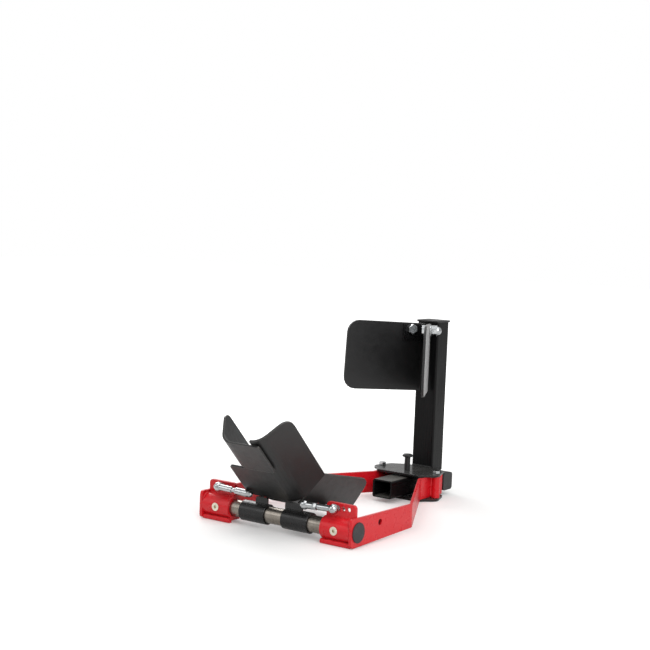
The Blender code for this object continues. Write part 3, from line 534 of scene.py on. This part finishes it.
def build_front_welds(side, sign):
    """Block to arm, tab to block, and lug to bush."""
    for edge, first, last in BLOCK_WELDS:
        path = round_shaft(sign * BLOCK_END_X, BLOCK_R + BLOCK_WELD_OUT, first, last)
        weld_bead(f"weld_block_{edge}_{side}", path, WELD_R["block"], RED, "frame")
    for edge, y in TAB_FACES:
        z = SHAFT_Z + math.sqrt(BLOCK_R**2 - y**2) + WELD_OUT
        path = lengthwise(sign * TAB_X[0], sign * TAB_X[1], y, z)
        weld_bead(f"weld_tab_{edge}_{side}", path, WELD_R["tab"], RED, "frame")
    low, high = (Vector(c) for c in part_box(f"link_lug_{side}"))
    for edge, y in (("front", low.y - SHAFT_Y - WELD_OUT), ("rear", high.y - SHAFT_Y + WELD_OUT)):
        z = SHAFT_Z + math.sqrt(BUSH_R**2 - y**2) + WELD_OUT
        path = lengthwise(low.x + LUG_WELD_IN, high.x - LUG_WELD_IN, y, z)
        weld_bead(f"weld_lug_{edge}_{side}", path, WELD_R["lug"], BLACK, f"cradle_{side}")


def build_rear_welds(side, sign):
    """Hinge barrel to arm, post to beam, and holder bracket to post."""
    for edge, way in (("front", -1), ("rear", 1)):
        path = upright(sign * HINGE_X, HINGE_Y + way * BARREL_SEAM, *BARREL_Z)
        weld_bead(f"weld_barrel_{edge}_{side}", path, WELD_R["barrel"], RED, "frame")
    path = [from_shaft(sign * POST_SIDE_X, y, BEAM_TOP) for y in POST_SIDE_Y]
    weld_bead(f"weld_post_{side}", path, WELD_R["post"], BLACK, "frame")
    path = upright(sign * BRACKET_X, POST_FRONT_Y, *BRACKET_Z)
    weld_bead(f"weld_bracket_{side}", path, WELD_R["bracket"], BLACK, "frame")


def build_threads(side, sign):
    """The bare thread between a link's two halves, and the end of its stud behind the nut."""
    low, high = (Vector(c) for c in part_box(f"link_stud_{side}"))
    ball = Vector(((low.x + high.x) / 2, SHAFT_Y + LINK_Y, (low.z + high.z) / 2))
    way = Vector((-sign, 0.0, -math.tan(math.radians(LINK_FALL)))).normalized()
    neck = ball + way * LINK_THREAD_FROM
    screw_thread(f"thread_link_{side}", neck, way, f"link_{side}", **LINK_THREAD)
    end = Vector((ball.x, high.y - STUD_THREAD_IN, ball.z))
    screw_thread(f"thread_stud_{side}", end, Vector((0, 1, 0)), "frame", **STUD_THREAD)


def build_arm_hole(side, sign):
    """The bottom of the round hole in the arm's side, which can't be seen through, in black as painted shade
    inside the hole.
    """
    steps = 20
    points = []
    for x in ARM_HOLE_BOTTOM:
        for k in range(steps):
            a = 2 * math.pi * k / steps
            y, z = ARM_HOLE_Y + ARM_HOLE_R * math.cos(a), ARM_HOLE_Z + ARM_HOLE_R * math.sin(a)
            points.append(from_shaft(sign * x, y, z))
    faces = [tuple(range(steps)), tuple(range(steps, 2 * steps))]
    for k in range(steps):
        m = (k + 1) % steps
        faces.append((k, m, steps + m, steps + k))
    add_piece(f"arm_hole_bottom_{side}", points, faces, BLACK, "frame")


for side, sign in SIDES.items():
    build_front_welds(side, sign)
    build_rear_welds(side, sign)
    build_threads(side, sign)
    build_arm_hole(side, sign)
foot = lengthwise(-POST_FOOT_X, POST_FOOT_X, POST_FOOT_Y, POST_FOOT_Z)
weld_bead("weld_post_front", foot, WELD_R["post"], BLACK, "frame")

# The white set: paper that glows a little near the object and more far off, and air that lights from above.
FLOOR_HALF = 12.0
FLOOR_DROP = 0.0002
GLOW_FROM, GLOW_TO = 0.45, 1.6
GLOW_NEAR, GLOW_FAR = 0.19, 0.9
GLOSSY_SHARE = 0.3
DOME_LOW, DOME_HIGH, DOME_TOP = 0.38, 0.52, 0.8
# Each soft box: place from the floor under the shaft, its two sides in metres, and watts.
LAMPS = {
    "overhead_softbox": ((0.1, 0.1, 2.6), (2.4, 2.4), 28.0),
    "right_softbox": ((2.4, -1.2, 1.5), (1.6, 1.6), 42.0),
    "left_softbox": ((-1.9, -2.1, 1.6), (1.4, 1.6), 8.0),
    "back_softbox": ((-2.2, 1.6, 1.6), (1.4, 1.6), 31.0),
}
LAMP_TARGET = (0.0, 0.2, 0.12)


def white_share(tree):
    """How white the paper and the air look to a ray: fully from the lens and through clear things, and by
    GLOSSY_SHARE in reflections, so that bright metal shows the white too and black paint stays black."""
    path = add(tree, "ShaderNodeLightPath")
    seen = add(
        tree,
        "ShaderNodeMath",
        links=[(0, path.outputs["Is Camera Ray"]), (1, path.outputs["Is Transmission Ray"])],
        operation="MAXIMUM",
    )
    share = add(
        tree,
        "ShaderNodeMath",
        {1: GLOSSY_SHARE},
        [(0, path.outputs["Is Glossy Ray"]), (2, seen.outputs["Value"])],
        operation="MULTIPLY_ADD",
    )
    return share.outputs["Value"]


def white_paper(name, code):
    """Matt studio paper: takes the object's shadow, and looks white to the lens and in bright metal. Its
    glow grows with the distance from the object, so that the paper runs into the white air behind."""
    mat, tree, shader, place = start_material(name)
    shader.inputs["Base Color"].default_value = colour(code)
    shader.inputs["Roughness"].default_value = 0.9
    shader.inputs["Emission Color"].default_value = WHITE
    away = add(tree, "ShaderNodeVectorMath", links=[(0, place)], operation="LENGTH")
    rise = add(
        tree,
        "ShaderNodeMapRange",
        {"From Min": GLOW_FROM, "From Max": GLOW_TO, "To Min": GLOW_NEAR, "To Max": GLOW_FAR},
        [("Value", away.outputs["Value"])],
    )
    lift = add(
        tree,
        "ShaderNodeMath",
        links=[(0, white_share(tree)), (1, rise.outputs["Result"])],
        operation="MULTIPLY",
    )
    tree.links.new(lift.outputs["Value"], shader.inputs["Emission Strength"])
    return mat


def build_floor():
    """The sheet of paper that the object stands on."""
    mesh = bpy.data.meshes.new("studio_floor")
    corners = [(x * FLOOR_HALF, y * FLOOR_HALF, 0) for x, y in ((-1, -1), (1, -1), (1, 1), (-1, 1))]
    mesh.from_pydata(corners, [], [(0, 1, 2, 3)])
    mesh.materials.append(white_paper("white_paper", "#e6e6e5"))
    floor = bpy.data.objects.new("studio_floor", mesh)
    bpy.context.scene.collection.objects.link(floor)
    floor.location.z = -FLOOR_DROP


def build_world():
    """A soft dome of light, brighter above, that looks white behind the object."""
    world = bpy.data.worlds.new("studio_air")
    bpy.context.scene.world = world
    world.use_nodes = True
    tree = world.node_tree
    tree.nodes.clear()
    way = add(tree, "ShaderNodeTexCoord").outputs["Generated"]
    height = add(tree, "ShaderNodeSeparateXYZ", links=[(0, way)])
    dome = add(
        tree,
        "ShaderNodeMapRange",
        {"From Min": 0.0, "From Max": DOME_TOP, "To Min": DOME_LOW, "To Max": DOME_HIGH},
        [("Value", height.outputs["Z"])],
    )
    soft = add(tree, "ShaderNodeBackground", {"Color": WHITE}, [("Strength", dome.outputs["Result"])])
    white = add(tree, "ShaderNodeBackground", {"Color": WHITE, "Strength": 1.0})
    both = add(
        tree,
        "ShaderNodeMixShader",
        links=[(0, white_share(tree)), (1, soft.outputs["Background"]), (2, white.outputs["Background"])],
    )
    add(tree, "ShaderNodeOutputWorld", links=[("Surface", both.outputs["Shader"])])


def build_lamp(name, place, size, watts):
    """A soft box that faces the middle of the object."""
    data = bpy.data.lights.new(name, "AREA")
    data.shape = "RECTANGLE"
    data.size, data.size_y = size
    data.energy = watts
    lamp = bpy.data.objects.new(name, data)
    bpy.context.scene.collection.objects.link(lamp)
    lamp.location = from_shaft(*place)
    way = from_shaft(*LAMP_TARGET) - lamp.location
    lamp.rotation_euler = way.to_track_quat("-Z", "Y").to_euler()


def build_camera():
    """The lens of the product picture, turned by its azimuth, elevation and roll."""
    data = bpy.data.cameras.new("product_camera")
    data.sensor_fit = "HORIZONTAL"
    data.sensor_width = SENSOR_MM
    data.lens = FOCAL_PX / FRAME_PX * SENSOR_MM
    data.clip_end = 100.0
    camera = bpy.data.objects.new("product_camera", data)
    bpy.context.scene.collection.objects.link(camera)
    az, el, roll = (math.radians(v) for v in (AZIMUTH, ELEVATION, ROLL))
    right = Vector((math.cos(az), math.sin(az), 0))
    back = Vector((math.sin(az) * math.cos(el), -math.cos(az) * math.cos(el), math.sin(el)))
    up = back.cross(right)
    turned = right * math.cos(roll) - up * math.sin(roll)
    upward = right * math.sin(roll) + up * math.cos(roll)
    turn = Matrix((turned, upward, back)).transposed()
    camera.matrix_world = Matrix.Translation(from_shaft(*EYE)) @ turn.to_4x4()
    bpy.context.scene.camera = camera


build_floor()
build_world()
for name, (place, size, watts) in LAMPS.items():
    build_lamp(name, place, size, watts)
build_camera()
bpy.context.scene.view_settings.view_transform = "Standard"
